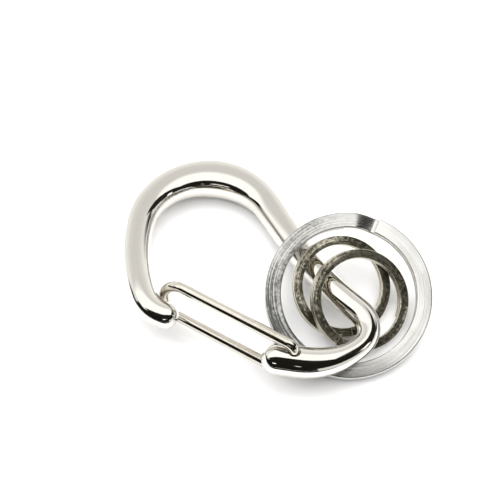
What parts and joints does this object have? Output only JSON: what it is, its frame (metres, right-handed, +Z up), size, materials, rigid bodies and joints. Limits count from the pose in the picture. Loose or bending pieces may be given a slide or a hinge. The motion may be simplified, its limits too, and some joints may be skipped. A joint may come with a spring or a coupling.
{
  "type": "carabiner keyring",
  "caption": "Open pear-shaped rod carabiner with a sprung wire gate, carrying flat-wire split key rings threaded on its narrow bend.",
  "frame": {"origin": "on the table, under the centre of the whole assembly's bounding box, in its lying rest pose", "axes": "+Z up from the table, +X along the hook from the wide bend to the narrow bend, +Y towards the hook's straight side, away from the gate"},
  "size_m": [0.0644, 0.0414, 0.0133],
  "materials": {
    "polished_rod": "bright nickel plate over polished rod, fine handling scratches",
    "gate_wire": "bright plated spring wire",
    "large_ring_wire": "nickel plated flat spring wire, satin brushed top faces with polished edges",
    "small_ring_wire": "nickel plated flat spring wire, slightly darker and more worn"
  },
  "bodies": {
    "hook": {"hook_body": "polished_rod"},
    "gate": {"wire_gate": "gate_wire"},
    "large_ring": {"large_split_ring": "large_ring_wire"},
    "rear_ring": {"small_split_ring_rear": "small_ring_wire"},
    "front_ring": {"small_split_ring_front": "small_ring_wire"}
  },
  "joints": [
    {"name": "gate_pivot", "type": "hinge", "parent": "hook", "child": "gate", "pos_m": [0.01306, -0.01452, 0.00786], "axis": [0, -0.2428, -0.9701], "range_deg": [0, 26], "stiffness_Nm_per_rad": 0.004},
    {"name": "large_ring_swing", "type": "hinge", "parent": "hook", "child": "large_ring", "pos_m": [0.00408, 0.0091, 0.01003], "axis": [0.4311, 0.8963, 0.104], "range_deg": [0, 50]},
    {"name": "rear_ring_swing", "type": "hinge", "parent": "hook", "child": "rear_ring", "pos_m": [0.00627, 0.00801, 0.00842], "axis": [0.358, 0.9329, 0.04], "range_deg": [0, 55]},
    {"name": "front_ring_lift", "type": "hinge", "parent": "hook", "child": "front_ring", "pos_m": [0.01977, -0.00405, 0.00289], "axis": [0.7502, 0.6612, -0.006], "range_deg": [0, 55]}
  ]
}
